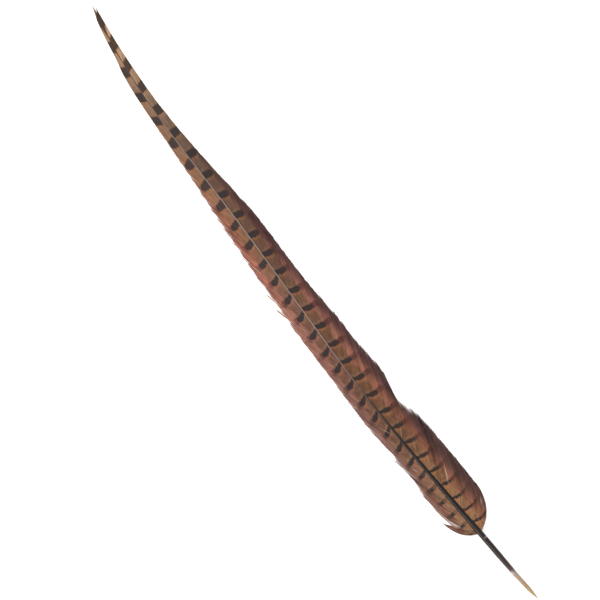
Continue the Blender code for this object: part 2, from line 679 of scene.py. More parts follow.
        # The barbs of a lock draw together towards the last one's end.
        pull = np.where(self._loose < 0, locks["gather"] * self.gather.at(roots), 0)
        gathered = pull * (self.edge.at(lead_station) - tip_reach)
        splay = locks["splay"] * self.gather.at(roots)
        tip_reach = tip_reach + gathered + splay + longer * np.sin(arrive)
        tip_station = tip_station + pull * (lead_station - tip_station)
        tip_station = tip_station + longer * np.cos(arrive) + self.ragged * locks["slip"]
        u = self._along
        near, middle, far = (1 - u) ** 2, 2 * u * (1 - u), u * u
        stations, reaches = (
            near * first[:, None] + middle * (first + leg)[:, None] + far * end[:, None]
            for first, leg, end in (
                (roots, first_leg * np.cos(leave), tip_station),
                (start, first_leg * np.sin(leave), tip_reach),
            )
        )
        for number, tuft in enumerate(self.tufts):
            chosen = self._loose == number
            rank = np.cumsum(chosen) / tuft.barbs
            pull = np.where(chosen, self.TUFT_HOLD + (1 - self.TUFT_HOLD) * rank, 0)[:, None]
            pull = pull * smooth_step(tuft.starts, 1.0, u)
            stations = stations + (tuft.station - tip_station)[:, None] * pull
            reaches = reaches + (tuft.reach - tip_reach)[:, None] * pull
        for parting in self.partings:
            away = (roots - parting.root)[:, None]
            shift = np.where(away < 0, -parting.back, parting.forward)
            fade = np.exp(-np.abs(away) / parting.spread)
            stations = stations + shift * fade * smooth_step(parting.starts, 1.0, u)
        return stations, reaches

    def _packed_edge(self) -> Course:
        """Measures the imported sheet's outer edge, past the place where it is at full width.

        Returns:
            The edge's reach by station.
        """
        places = vertex_places(bpy.data.objects[self.node])
        stations, reaches = self.line.project(places[:, :2], step=1.0, past=20.0)
        pairs = []
        for middle in np.arange(self.VANE_FULL, stations.max(), self.EDGE_STEP):
            near = np.abs(stations - middle) < self.EDGE_STEP / 2
            pairs.append((float(middle), float(reaches[near].max())))
        return Course(tuple(pairs))

    def _heights(self, stations: Array, reaches: Array) -> Array:
        """Height of the barbs on the web's face, which arches down from the shaft to the floor.

        Args:
            stations: Stations of the points.
            reaches: Their reaches.

        Returns:
            The heights in millimetres.
        """
        radius, axis = self.line.radius(stations), self.line.height(stations)
        cover = np.minimum(self.shaft_cover.at(stations), radius * 0.98)
        root, top = radius + self.ROOT_GAP, axis + radius * self.ROOT_HEIGHT
        full = self._packed_edge().at(np.maximum(stations, self.VANE_FULL)) - root
        part = np.clip((reaches - root) / np.maximum(full, 0.5), 0, 1.25)
        arch = part * (1 - self.EDGE_ROLL) + part ** 2 * self.EDGE_ROLL
        outer = np.maximum(top - (top - self.SHEET) * arch, self.LEAST_HEIGHT)
        crown = axis + np.sqrt(radius ** 2 - cover ** 2) + self.OVER_SHAFT
        share = np.clip((reaches - cover) / (root - cover), 0, 1)
        face = np.where(reaches < root, crown + (top - crown) * share, outer)
        lifted = face + self._locks["lift"][:, None] * self._along ** self.LIFT_POWER
        return lifted + self._rng.normal(0, self.HEIGHT_CHANCE, len(lifted))[:, None]

    def _blades(self, stations: Array, reaches: Array, heights: Array) -> None:
        """Gives each path a four-sided section: left edge, ridge, right edge and keel.

        Args:
            stations: Station of each point of each barb.
            reaches: Reach of each point.
            heights: Height of each point.
        """
        length = np.hypot(np.diff(stations, axis=1), np.diff(reaches, axis=1)).sum(axis=1)
        size = np.clip(np.sqrt(length / self.LONG_BARB), self.LEAST_SIZE, 1.0)
        size = size * (1 + self._rng.normal(0, self.SIZE_CHANCE, len(length)))
        half = self.blade_width.at(self._along) * size[:, None] / 2
        run, rise = np.gradient(stations, axis=1), np.gradient(reaches, axis=1)
        norm = np.hypot(run, rise)
        sideways = np.array([1, 0, -1, 0])
        self._station = stations[..., None] + (-rise / norm * half)[..., None] * sideways
        self._reach = reaches[..., None] + (run / norm * half)[..., None] * sideways
        share = half / half.max()
        edge, tall = self.SHINGLE * share, self.blade_height * np.sqrt(share)
        lift = np.stack([edge, tall, -edge, -self.KEEL * tall], axis=2)
        height = np.maximum(heights[..., None] + lift, self.FLOOR_GAP)
        plan, ahead = self.line.place(self._station), self.line.direction(self._station)
        out = np.stack([-ahead[..., 1], ahead[..., 0]], axis=-1) * self.side.value
        plan = plan + out * self._reach[..., None]
        self._place = np.concatenate([plan, height[..., None]], axis=-1)

    def _mesh(self) -> bpy.types.Object:
        """Joins all the barbs into one mesh of closed blades.

        Returns:
            The new object, at the origin.
        """
        count, points, corners = self._station.shape
        first = np.arange(count)[:, None, None] * points * corners
        step = np.arange(points - 1)[None, :, None] * corners
        corner = np.arange(corners)[None, None, :]
        following = (corner + 1) % corners
        walls = np.stack([
            first + step + corner, first + step + following,
            first + step + corners + following, first + step + corners + corner,
        ], axis=-1).reshape(-1, 4)
        root_cap = first[:, 0] + np.arange(corners)[::-1][None, :]
        tip_cap = first[:, 0] + (points - 1) * corners + np.arange(corners)[None, :]
        faces = np.concatenate([walls, root_cap, tip_cap])
        if self.side is Side.NARROW:
            faces = faces[:, ::-1]
        mesh = bpy.data.meshes.new(self.name)
        mesh.from_pydata((self._place.reshape(-1, 3) * MM).tolist(), [], faces.tolist())
        mesh.validate()
        web = bpy.data.objects.new(self.name, mesh)
        bpy.context.scene.collection.objects.link(web)
        return web

    def _paleness(self) -> Array:
        """How pale each corner is: in the edge's fringe, in the tufts and on the pale barbs.

        Returns:
            Shares from 0 to 1.
        """
        fringe = self._locks["fringe"][:, None] * smooth_step(*self.FRINGE_FROM, self._along)
        pale = fringe[:, :, None]
        for number, tuft in enumerate(self.tufts):
            bright = tuft.pale * smooth_step(*self.TUFT_PALE_FROM, self._along)
            pale = np.maximum(pale, (bright * (self._loose == number)[:, None])[:, :, None])
        for mark in self.pale_barbs:
            ridge_station, ridge_reach = self._station[:, :, 1], self._reach[:, :, 1]
            away = np.hypot(ridge_station - mark.station, ridge_reach - mark.reach)
            barb = np.unravel_index(away.argmin(), away.shape)[0]
            beside = np.exp(-(((self._roots - self._roots[barb]) / mark.width) ** 2))
            lengthwise = np.exp(-(((self._station - mark.station) / mark.span) ** 2))
            pale = np.maximum(pale, mark.strength * beside[:, None, None] * lengthwise)
        return pale

    def _attributes(self, web: bpy.types.Object, shades: Array) -> None:
        """Stores what the barbs' material reads at each corner and face.

        Args:
            web: The web's object.
            shades: A chance value for each barb.
        """
        station, reach = self._station, np.maximum(self._reach, 0)
        roots, shades, locks = (
            values[:, None, None] for values in (self._roots, shades, self._locks["shade"])
        )
        jag = self._rng.normal(0, self.JAG, len(roots))[:, None, None]
        zone = reach * self.bars.zone.at(station)
        half = self.bars.thickness(station, reach)
        vectors = {
            "bar_place": (self.bars.phase(station + jag, reach), zone, station),
            "barb_place": (roots, zone * self.bars.rim.at(station), half),
            "barb_tint": (shades, locks, self._paleness()),
        }
        for name, parts in vectors.items():
            wide = [np.broadcast_to(part, station.shape) for part in parts]
            store(web, name, "POINT", np.stack(wide, axis=-1))
        under = np.zeros(len(web.data.polygons))
        under[:self._wall_count()].reshape(-1, 4)[:, 2:] = 1
        store(web, "underside", "FACE", under)

    def _wall_count(self) -> int:
        """How many of the mesh's faces are the blades' long sides. The caps come after them."""
        return len(self._roots) * (self.points - 1) * 4

    def _bake_map(self, web: bpy.types.Object) -> None:
        """Lays the web out flat in strips, the upper faces above and the undersides below.

        Args:
            web: The web's object.
        """
        strip_length = (self.last_root - self.first_root) / self.STRIPS
        strip = (self._roots - self.first_root) // strip_length
        strip = np.clip(strip, 0, self.STRIPS - 1)[:, None, None]
        start = self.first_root + strip * strip_length - self.STRIP_MARGIN
        across = (self._station - start) / (strip_length + self.STRIP_OVERHANG)
        up = (self._reach + self.MAP_MARGIN) / (self._reach.max() + 2.5 * self.MAP_MARGIN)
        flat_u = np.clip(across, 0.002, 0.998).reshape(-1)
        flat_v = ((strip + np.clip(up, 0.01, 0.99)) / (2 * self.STRIPS)).reshape(-1)
        vertex = whole_numbers(web.data.loops, "vertex_index")
        walls, faces = self._wall_count(), len(web.data.polygons)
        lower = np.zeros((faces, 4))
        lower[:walls].reshape(-1, 4, 4)[:, 2:, :] = 0.5
        # Each cap is a sliver on the map, so that it has an area.
        caps = np.zeros((faces, 4))
        caps[walls:] = np.array([0.0, 1.0, 0.0, -1.0]) * self.CAP_SLIVER
        u = np.clip(flat_u[vertex] + caps.reshape(-1), 0, 1)
        store_map(web, u, flat_v[vertex] + lower.reshape(-1))


class BarbMaterial:
    """Keratin barbs, grown with their colour in bars: soft, dull and streaked lengthwise.

    The fine hooked barbules scatter the light, so the web looks like matt cloth with a faint
    silky sheen along the barbs.
    """

    LENGTH = 530.0
    HALO = 0.36
    BARBULE_PITCH = 0.9
    WARP = 7.0
    CELL_START = (0.14, 0.38)
    CELL_END = (0.62, 0.86)
    STRIPE_EDGE = (0.75, 1.25)
    BAR_EDGE = (0.86, 1.14)
    HALO_EDGE = (1.1, 1.9)
    FADE_REACH = (4.0, 5.6)
    STREAK_WIDTH = 2.6
    STREAK_LENGTH = 16.0
    FLECK_WIDTH = 2.4
    FLECK_LENGTH = 1.2
    PALE = "e2c9b4"
    UNDERSIDE = "8a7668"
    TIP_BROWN = "4a372d"

    def __init__(self, finish: BarbFinish) -> None:
        """Starts the material with what the web stores for it.

        Args:
            finish: The web's colours.
        """
        self.finish = finish
        self.sheet = MaterialSheet(finish.name)
        add = self.sheet.add
        phase, self.reach, self.station = self._split("bar_place")
        self.root, rim_reach, self.half = self._split("barb_place")
        self.barb_chance, self.lock_chance, self.pale = self._split("barb_tint")
        self.along = add("Math", (self.station, self.LENGTH), operation="DIVIDE")
        self.cell = add("Math", (phase,), operation="FRACT")
        # A streak is some 2.6 mm of barbs wide at the shaft and 16 mm long.
        noise = self._noise(
            self.root, self.STREAK_WIDTH, self.station, self.STREAK_LENGTH, Detail=3.0,
            Roughness=0.65,
        )
        self.streak = add("Math", (noise, 0.5), operation="SUBTRACT")
        # Colours run along the barbs, so the zones' borders are ragged.
        self.warped, self.warped_rim = (
            add("Math", (self.streak, self.WARP, reach), operation="MULTIPLY_ADD")
            for reach in (self.reach, rim_reach)
        )
        off = add("Math", (self.cell, 0.5), operation="SUBTRACT")
        off = add("Math", (off,), operation="ABSOLUTE")
        off = add("Math", (0.5, off), operation="SUBTRACT")
        self.from_bar = add("Math", (off, self.half), operation="DIVIDE")

    def make(self) -> bpy.types.Material:
        """Builds the material from the web's attributes.

        Returns:
            The finished material.
        """
        add = self.sheet.add
        colour = self._ground()
        for draw in (self._stripes, self._shade, self._bars, self._tip):
            colour = draw(colour)
        colour = add("Mix", {0: self.pale, 6: colour, 7: dyed(self.PALE)}, 2, **BLEND)
        under = add("Attribute", out="Fac", attribute_name="underside")
        dull = add("Math", (under, 0.55), operation="MULTIPLY")
        colour = add("Mix", {0: dull, 6: colour, 7: dyed(self.UNDERSIDE)}, 2, **BLEND)
        # Barbules stand 0.03 mm apart; they are drawn far coarser so that they can show.
        pitch = self.BARBULE_PITCH
        ribs = self._noise(self.root, pitch, self.station, pitch)
        bump = add("Bump", {"Strength": 0.25, "Distance": 0.0001, "Height": ribs})
        self.sheet.set(self.sheet.shader, {
            "Base Color": colour, "Roughness": add("MapRange", (ribs, 0.3, 0.7, 0.52, 0.68)),
            "Normal": bump, "IOR": 1.54, "Specular IOR Level": 0.12,
        })
        return self.sheet.material

    def _split(self, name: str) -> list[Socket]:
        """The three parts of a vector attribute."""
        vector = self.sheet.add("Attribute", out="Vector", attribute_name=name)
        return list(self.sheet.add("SeparateXYZ", (vector,)).node.outputs)

    def _noise(
        self, across: Socket, width: float, lengthwise: Socket, length: float, **inputs: float
    ) -> Socket:
        """Chance values over the web, from about 0.2 to 0.8.

        Args:
            across: A place across the barbs.
            width: How wide a patch is in millimetres.
            lengthwise: A place along the barbs.
            length: How long a patch is in millimetres.
            inputs: The noise's other inputs by name.

        Returns:
            The value's socket.
        """
        add = self.sheet.add
        places = [
            add("Math", (place, 1 / size), operation="MULTIPLY")
            for place, size in ((across, width), (lengthwise, length))
        ]
        where = add("CombineXYZ", (*places, 0.0))
        return add("TexNoise", {"Vector": where, "Scale": 1.0, "Detail": 2.0} | inputs)

    def _ramp(self, stops: Stops) -> Socket:
        """A colour that changes along the feather."""
        placed = [(at / self.LENGTH, dyed(code, self.finish.depth)) for at, code in stops]
        return self.sheet.add("ValToRGB", (self.along,), stops=placed)

    def _ground(self) -> Socket:
        """The ground colour: cells by the shaft, a redder band, and the web's rim.

        Returns:
            The colour socket.
        """
        add, finish = self.sheet.add, self.finish
        starts = add("MapRange", (self.cell, *self.CELL_START, 1.0, 0.0), **SMOOTH)
        ends = add("MapRange", (self.cell, *self.CELL_END, 0.0, 1.0), **SMOOTH)
        # Past the bars the ground steps lighter just tipward of each stripe and darker towards the
        # next: a painted sheen on each step of the band and rim.
        fade = add("MapRange", (self.cell, 0.1, 0.95, 1.2, 0.82))
        band, rim = (
            add("Mix", {0: strength, 6: self._ramp(stops), 7: fade}, 2, **TINT)
            for strength, stops in ((1.0, finish.band), (0.6, finish.rim))
        )
        past_band = add("MapRange", (self.warped, *finish.band_reach), **SMOOTH)
        past_rim = add("MapRange", (self.warped_rim, *finish.rim_reach), **SMOOTH)
        colour = self._ramp(finish.cell_middle)
        for share, over in (
            (starts, self._ramp(finish.cell_start)), (ends, self._ramp(finish.cell_end)),
            (past_band, band), (past_rim, rim),
        ):
            colour = add("Mix", {0: share, 6: colour, 7: over}, 2, **BLEND)
        return colour

    def _stripes(self, colour: Socket) -> Socket:
        """Draws the reddish stripe that carries each bar on towards the rim.

        Args:
            colour: The ground colour.

        Returns:
            The colour socket.
        """
        add = self.sheet.add
        begins, full, fades, ends = self.finish.stripe_reach
        stripe = add("MapRange", (self.from_bar, *self.STRIPE_EDGE, 1.0, 0.0), **SMOOTH)
        for window in ((begins, full, 0.0, 1.0), (fades, ends, 1.0, 0.0)):
            share = add("MapRange", (self.warped, *window), **SMOOTH)
            stripe = add("Math", (stripe, share), operation="MULTIPLY")
        over = self._ramp(self.finish.stripe)
        return add("Mix", {0: stripe, 6: colour, 7: over}, 2, **BLEND)

    def _shade(self, colour: Socket) -> Socket:
        """Lightens and darkens the barbs lengthwise, and mottles the ground by the shaft.

        Args:
            colour: The striped ground.

        Returns:
            The colour socket.
        """
        add, finish = self.sheet.add, self.finish
        rim = finish.rim_reach[1]
        total = add("Math", (self.barb_chance, 0.05, self.streak), operation="MULTIPLY_ADD")
        total = add("Math", (self.lock_chance, 0.1, total), operation="MULTIPLY_ADD")
        strength = add("MapRange", (self.reach, 3.0, rim, finish.streak, finish.rim_streak))
        lit = add("Math", (total, strength, 1.0), operation="MULTIPLY_ADD")
        # The mottle's flecks are some 1 mm across the barbs and 3 mm along them.
        fleck = self._noise(self.root, self.FLECK_WIDTH, self.reach, self.FLECK_LENGTH)
        fleck = add("Math", (fleck, 0.5), operation="SUBTRACT")
        mottle = add("MapRange", (self.reach, finish.band_reach[0], rim, 1.5, 0.6))
        gain = add("Math", (fleck, mottle, lit), operation="MULTIPLY_ADD")
        return add("Mix", {0: 1.0, 6: colour, 7: gain}, 2, **TINT)

    def _bars(self, colour: Socket) -> Socket:
        """Draws the dark bars with their tan border, which is stronger quillward.

        Args:
            colour: The shaded ground.

        Returns:
            The colour socket.
        """
        add, finish = self.sheet.add, self.finish
        tenth = add("Math", (self.reach, 0.1), operation="MULTIPLY")
        shape = add("FloatCurve", {"Value": tenth}, stops=finish.bar_shape)
        shape = add("Math", (shape, 0.001), operation="MAXIMUM")
        shaped = add("Math", (self.from_bar, shape), operation="DIVIDE")
        border = add("MapRange", (shaped, *self.HALO_EDGE, self.HALO, 0.0), **SMOOTH)
        quillward = add("MapRange", (self.cell, 0.4, 0.6, 0.45, 1.0))
        border = add("Math", (border, quillward), operation="MULTIPLY")
        colour = add("Mix", {0: border, 6: colour, 7: dyed(finish.border)}, 2, **BLEND)
        bar = add("MapRange", (shaped, *self.BAR_EDGE, 1.0, 0.0), **SMOOTH)
        # By the vane's base the bars fade towards the shaft.
        inner = add("MapRange", (self.reach, *self.FADE_REACH, 0.56, 0.0))
        faded = add("MapRange", (self.station, *finish.bar_fades, 1.0, 0.0))
        faded = add("Math", (inner, faded), operation="MULTIPLY")
        kept = add("Math", (1.0, faded), operation="SUBTRACT")
        bar = add("Math", (bar, kept), operation="MULTIPLY")
        return add("Mix", {0: bar, 6: colour, 7: self._ramp(finish.bar)}, 2, **BLEND)

    def _tip(self, colour: Socket) -> Socket:
        """Browns the last stretch beside the shaft, where the bars run together.

        Args:
            colour: The barred colour.

        Returns:
            The colour socket.
        """
        add = self.sheet.add
        begins, full, paler, pale = self.finish.tip_brown
        moved = add("Math", (self.reach, -6.0, self.station), operation="MULTIPLY_ADD")
        moved = add("Math", (self.streak, 12.0, moved), operation="MULTIPLY_ADD")
        share = add("MapRange", (moved, begins, full, 0.0, 1.0), **SMOOTH)
        left = add("MapRange", (self.station, paler, pale, 1.0, 0.1), **SMOOTH)
        share = add("Math", (share, left), operation="MULTIPLY")
        return add("Mix", {0: share, 6: colour, 7: dyed(self.TIP_BROWN)}, 2, **BLEND)


@dataclass(frozen=True)
class HornFinish:
    """Horn of the quill and shaft: straw at the point, black along the vane, grey to the tip, where
    the grey is partly the horn's own and partly a painted highlight along the thin shaft's top.

    The ring is a pale growth mark that goes part of the way round.
    """

    name: str = "quill_horn_polished"
    # From about 208 mm to 440 mm the grey is partly the horn's own colour and partly a painted
    # highlight along the thin shaft's top.
    colours: Stops = (
        (0, "bca283"), (5, "b0966f"), (14, "a3866b"), (21, "a38c77"), (25.0, "9c8c86"),
        (26.6, "5a4a44"), (29.5, "3f3430"), (55, "2a211f"), (90, "1a1616"), (150, "1c1818"),
        (180, "3a2f2a"), (208, "6a5a53"), (240, "867670"), (330, "8c7d75"), (400, "8a7a70"),
        (440, "665750"), (465, "4d3e37"), (490, "43342c"), (514, "3a2b24"),
    )
    ring: float = 56.6
    ring_colour: str = "7d6a5c"
    grain_length: float = 12.0
    grain_width: float = 0.4


@dataclass
class Shaft:
    """The quill and the shaft, swept as one horn rod with a groove below the vane."""

    line: ShaftLine
    finish: HornFinish = field(default_factory=HornFinish)
    name: str = "quill_and_shaft"
    sides: int = 24
    ring_step: float = 6.0
    point_length: float = 10.0
    groove_from: float = 68.0
    groove_ends_before: float = 20.0
    groove_depth: float = 0.45
    groove_share: float = 0.97
    strips: int = 5

    def build(self) -> bpy.types.Object:
        """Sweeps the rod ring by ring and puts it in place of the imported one.

        Returns:
            The shaft's object.
        """
        rod = self._sweep()
        self._groove(rod)
        self._smooth(rod)
        station, turn = self._measure(rod)
        store(rod, "rod_place", "POINT", np.stack([station, turn, 0 * station], axis=1))
        self._bake_map(rod, station, turn)
        rod.data.materials.append(self._horn())
        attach(rod, "root")
        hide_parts("shaft")
        LOG.info("%s: %d faces", self.name, len(rod.data.polygons))
        return rod

    def _stations(self) -> Array:
        """Spaces the rings, close together over the quill's blunt point.

        Returns:
            Their stations.
        """
        point = self.point_length * np.linspace(0, 1, 9) ** 1.8
        count = round((self.line.length - point[-1]) / self.ring_step)
        return np.concatenate([point, np.linspace(point[-1], self.line.length, count + 1)[1:]])

    def _sweep(self) -> bpy.types.Object:
        """Extrudes a round disc along the shaft's axis, turned and sized at each ring.

        Returns:
            The rod.
        """
        stations = self._stations()
        plan, ahead = self.line.place(stations) * MM, self.line.direction(stations)
        places = np.column_stack([plan, self.line.height(stations) * MM])
        headings = np.unwrap(np.arctan2(ahead[:, 1], ahead[:, 0]))
        radii = self.line.radius(stations) * MM
        bpy.ops.object.select_all(action="DESELECT")
        bpy.ops.mesh.primitive_circle_add(
            vertices=self.sides, radius=radii[0], fill_type="NGON", location=places[0],
            rotation=(0, math.pi / 2, headings[0]),
        )
        rod = bpy.context.object
        rod.name = rod.data.name = self.name
        bpy.ops.object.transform_apply(location=True, rotation=True, scale=True)
        bpy.ops.object.mode_set(mode="EDIT")
        bpy.ops.mesh.select_all(action="SELECT")
        for before, here in zip(range(len(stations) - 1), range(1, len(stations))):
            centre = tuple(places[here])
            bpy.ops.mesh.extrude_region_move(
                TRANSFORM_OT_translate={"value": tuple(places[here] - places[before])}
            )
            bpy.ops.transform.rotate(
                value=headings[before] - headings[here], orient_axis="Z", center_override=centre
            )
            size = radii[here] / radii[before]
            bpy.ops.transform.resize(value=(size,) * 3, center_override=centre)
        bpy.ops.mesh.select_all(action="SELECT")
        bpy.ops.mesh.normals_make_consistent(inside=False)
        bpy.ops.object.mode_set(mode="OBJECT")
        return rod

    def _groove(self, rod: bpy.types.Object) -> None:
        """Lifts the bottom line of each ring past the quill into a groove.

        Args:
            rod: The swept rod.
        """
        mesh, dots, stations = rod.data, vertex_places(rod), self._stations()
        centres = np.column_stack([self.line.place(stations), self.line.height(stations)])
        nearest, radii = nearest_on(centres, dots), self.line.radius(stations)
        below = dots[:, 2] < centres[nearest, 2] - self.groove_share * radii[nearest]
        for ring, station in enumerate(stations):
            if not self.groove_from < station < self.line.length - self.groove_ends_before:
                continue
            mesh.vertices.foreach_set("select", below & (nearest == ring))
            for items in (mesh.edges, mesh.polygons):
                items.foreach_set("select", np.zeros(len(items), dtype=bool))
            bpy.ops.object.mode_set(mode="EDIT")
            bpy.ops.transform.translate(value=(0, 0, radii[ring] * self.groove_depth * MM))
            bpy.ops.object.mode_set(mode="OBJECT")

    @staticmethod
    def _smooth(rod: bpy.types.Object) -> None:
        """Rounds the rod by one level of subdivision and shades it smooth.

        Args:
            rod: The grooved rod.
        """
        bpy.ops.object.modifier_add(type="SUBSURF")
        rounding = rod.modifiers[-1]
        rounding.levels = rounding.render_levels = 1
        bpy.ops.object.modifier_apply(modifier=rounding.name)
        bpy.ops.object.shade_smooth()

    def _measure(self, rod: bpy.types.Object) -> tuple[Array, Array]:
        """Finds where each vertex lies on the rod.

        Args:
            rod: The finished rod.

        Returns:
            Each vertex's station, and its place round the rod from -0.5 to 0.5 turns.
        """
        dots = vertex_places(rod)
        station, _ = self.line.project(dots[:, :2], step=0.5, past=1.0)
        ahead = self.line.direction(station)
        offset = dots[:, :2] - self.line.place(station)
        sideways = offset[:, 1] * ahead[:, 0] - offset[:, 0] * ahead[:, 1]
        turn = np.arctan2(sideways, dots[:, 2] - self.line.height(station)) / (2 * math.pi)
        return station, turn

    def _bake_map(self, rod: bpy.types.Object, station: Array, angle: Array) -> None:
        """Unrolls the rod into strips along its length.

        Args:
            rod: The shaft's object.
            station: Station of each vertex.
            angle: Place of each vertex round the rod, in turns.
        """
        vertex = whole_numbers(rod.data.loops, "vertex_index")
        totals = whole_numbers(rod.data.polygons, "loop_total")
        face = np.repeat(np.arange(len(totals)), totals)
        starts = np.concatenate([[0], np.cumsum(totals)[:-1]])
        # A face that spans the seam goes on past the end of its strip.
        turn = angle[vertex]
        high = np.maximum.reduceat(turn, starts)[face]
        turn = np.where(high - turn > 0.5, turn + 1, turn)
        length = self.line.length / self.strips
        lowest = np.minimum.reduceat(station[vertex], starts)
        strip = np.clip(lowest // length, 0, self.strips - 1)[face]
        u = (station[vertex] - strip * length + 1) / (length + 10)
        store_map(rod, u, (strip + 0.03 + 0.94 * (turn + 0.5) / 1.1) / self.strips)

    def _horn(self) -> bpy.types.Material:
        """Keratin horn, grown and worn smooth: a dark gloss with fine lengthwise grain.

        Returns:
            The finished material.
        """
        finish, length = self.finish, self.line.length
        sheet = MaterialSheet(finish.name)
        add = sheet.add
        rod_place = add("Attribute", out="Vector", attribute_name="rod_place")
        station, turn, _ = add("SeparateXYZ", (rod_place,)).node.outputs
        along = add("Math", (station, length), operation="DIVIDE")
        stops = [(at / length, dyed(code)) for at, code in finish.colours]
        colour = add("ValToRGB", (along,), stops=stops)
        across = 1 / (finish.grain_width * MM)
        lengthwise = 1 / (finish.grain_length * MM)
        place = add("TexCoord", out="Object")
        place = add("Mapping", {"Vector": place, "Scale": (lengthwise, across, across)})
        grain = add("TexNoise", {"Vector": place, "Scale": 1.0, "Detail": 3.0})
        gain = add("MapRange", (grain, 0.3, 0.7, 0.86, 1.14))
        colour = add("Mix", {0: 1.0, 6: colour, 7: gain}, 2, **TINT)
        away = add("Math", (along, finish.ring / length), operation="SUBTRACT")
        away = add("Math", (away,), operation="ABSOLUTE")
        ring = add("MapRange", (away, 0.0006, 0.0022, 0.75, 0.0), **SMOOTH)
        part_way = add("MapRange", (turn, -0.04, 0.05, 1.0, 0.0))
        ring = add("Math", (ring, part_way), operation="MULTIPLY")
        colour = add("Mix", {0: ring, 6: colour, 7: dyed(finish.ring_colour)}, 2, **BLEND)
        sheet.set(sheet.shader, {
            "Base Color": colour, "Roughness": add("MapRange", (grain, 0.3, 0.7, 0.17, 0.27)),
            "Normal": add("Bump", {"Strength": 0.2, "Distance": 0.00005, "Height": grain}),
            "IOR": 1.54, "Specular IOR Level": 0.16,
        })
        return sheet.material


@dataclass
class SkinFlake:
    """A curled scrap of dry skin that still clings to the quill."""

    line: ShaftLine
    name: str = "quill_skin_flake"
    first: float = 23.0
    last: float = 26.4
    angles: tuple[float, float] = (5.0, 100.0)
    curl: float = 0.75
    thickness: float = 0.12
    gap: float = 0.04
    blotches_a_metre: float = 900.0

    def build(self) -> bpy.types.Object:
        """Bends a small sheet round the quill, with its free corner curled up.

        Returns:
            The flake's object.
        """
        bpy.ops.object.select_all(action="DESELECT")
        bpy.ops.mesh.primitive_grid_add(x_subdivisions=14, y_subdivisions=12, size=2)
        flake = bpy.context.object
        flake.name = flake.data.name = self.name
        middle, reach = (self.first + self.last) / 2, (self.last - self.first) / 2
        turn, spread = sum(self.angles) / 2, (self.angles[1] - self.angles[0]) / 2
        for vertex in flake.data.vertices:
            along, around, _ = vertex.co
            torn = 1 - 0.18 * math.sin(5 * around + 1) - 0.1 * math.sin(11 * around)
            worn = 1 - 0.3 * along ** 2 + 0.1 * math.sin(9 * along)
            lifted = self.curl * max(-along, 0) ** 2 * max(around, 0)
            vertex.co = MM * self.line.spot(
                middle + reach * along * torn, turn + spread * around * worn,
                self.thickness + self.gap + lifted,
            )
        bpy.ops.object.modifier_add(type="SOLIDIFY")
        wall = flake.modifiers[-1]
        wall.thickness, wall.offset = self.thickness * MM, -1.0
        bpy.ops.object.modifier_apply(modifier=wall.name)
        bpy.ops.object.shade_smooth()
        flake.data.materials.append(self._skin())
        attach(flake, "root")
        LOG.info("%s: %d faces", self.name, len(flake.data.polygons))
        return flake

    def _skin(self) -> bpy.types.Material:
        """Dry skin, shed and chalky: a pale matt grey with pink blotches.

        Returns:
            The finished material.
        """
        sheet = MaterialSheet("dry_quill_skin")
        add = sheet.add
        place = add("TexCoord", out="Object")
        # The blotches are some 1 mm across.
        scale = self.blotches_a_metre
        blotch = add("TexNoise", {"Vector": place, "Scale": scale, "Detail": 3.0})
        stops = [(0.35, dyed("a08a84")), (0.62, dyed("c9bdb8"))]
        sheet.set(sheet.shader, {
            "Base Color": add("ValToRGB", (blotch,), stops=stops),
            "Roughness": add("MapRange", (blotch, 0.3, 0.7, 0.7, 0.85)),
            "Normal": add("Bump", {"Strength": 0.3, "Distance": 0.0001, "Height": blotch}),
            "IOR": 1.5, "Specular IOR Level": 0.3,
        })
        return sheet.material


BROAD_FINISH = BarbFinish(
    name="barred_keratin_barbs_broad",
    cell_middle=(
        (66, "9a7050"), (93, "936948"), (144, "77523a"), (199, "6f4c37"), (259, "71503c"),
        (324, "6e4e3e"), (396, "6c5447"), (440, "8f735b"), (470, "b08c6f"), (510, "c9a386"),
    ),
    cell_start=(
        (66, "936d52"), (93, "936d52"), (144, "7f5e45"), (199, "7c5c47"), (259, "7d5d4b"),
        (324, "745544"), (396, "765e4e"), (440, "8b725c"), (470, "a98566"), (510, "c9a386"),
    ),
    cell_end=(
        (66, "a2724f"), (93, "a2724f"), (144, "90623f"), (199, "8d5b3c"), (259, "8b5b42"),
        (324, "81593e"), (396, "765947"), (440, "b19073"), (470, "bf9a7d"), (510, "c9a386"),
    ),
    band=(
        (66, "925f49"), (93, "885843"), (144, "80523e"), (199, "935f4a"), (259, "925e50"),
        (324, "724b40"), (396, "6b4f41"), (440, "94765d"), (510, "bf9a7d"),
    ),
    rim=(
        (66, "6e4a40"), (93, "593d38"), (144, "4c3331"), (199, "4f3433"), (259, "513433"),
        (324, "4e3331"), (396, "5c4036"), (440, "a98566"), (510, "bf9a7d"),
    ),
    bar=(
        (66, "3a2f2a"), (199, "3a2e2c"), (324, "3c3130"), (396, "3e3432"), (440, "4e3e38"),
        (500, "54402f"),
    ),
    stripe=(
        (66, "603d30"), (144, "603a30"), (199, "643c34"), (259, "663c38"), (324, "5c3b36"),
        (440, "54423b"),
    ),
    bar_shape=(
        (0.0, 1.0), (0.50, 1.0), (0.66, 0.94), (0.77, 0.78), (0.84, 0.52), (0.89, 0.0), (1.0, 0.0),
    ),
    band_reach=(6.4, 8.8),
    rim_reach=(9.3, 16.5),
    stripe_reach=(7.4, 8.4, 12.0, 16.5),
    tip_brown=(490.0, 500.0, 540.0, 550.0),
    bar_fades=(20.0, 30.0),
    streak=0.6,
    rim_streak=1.7,
)

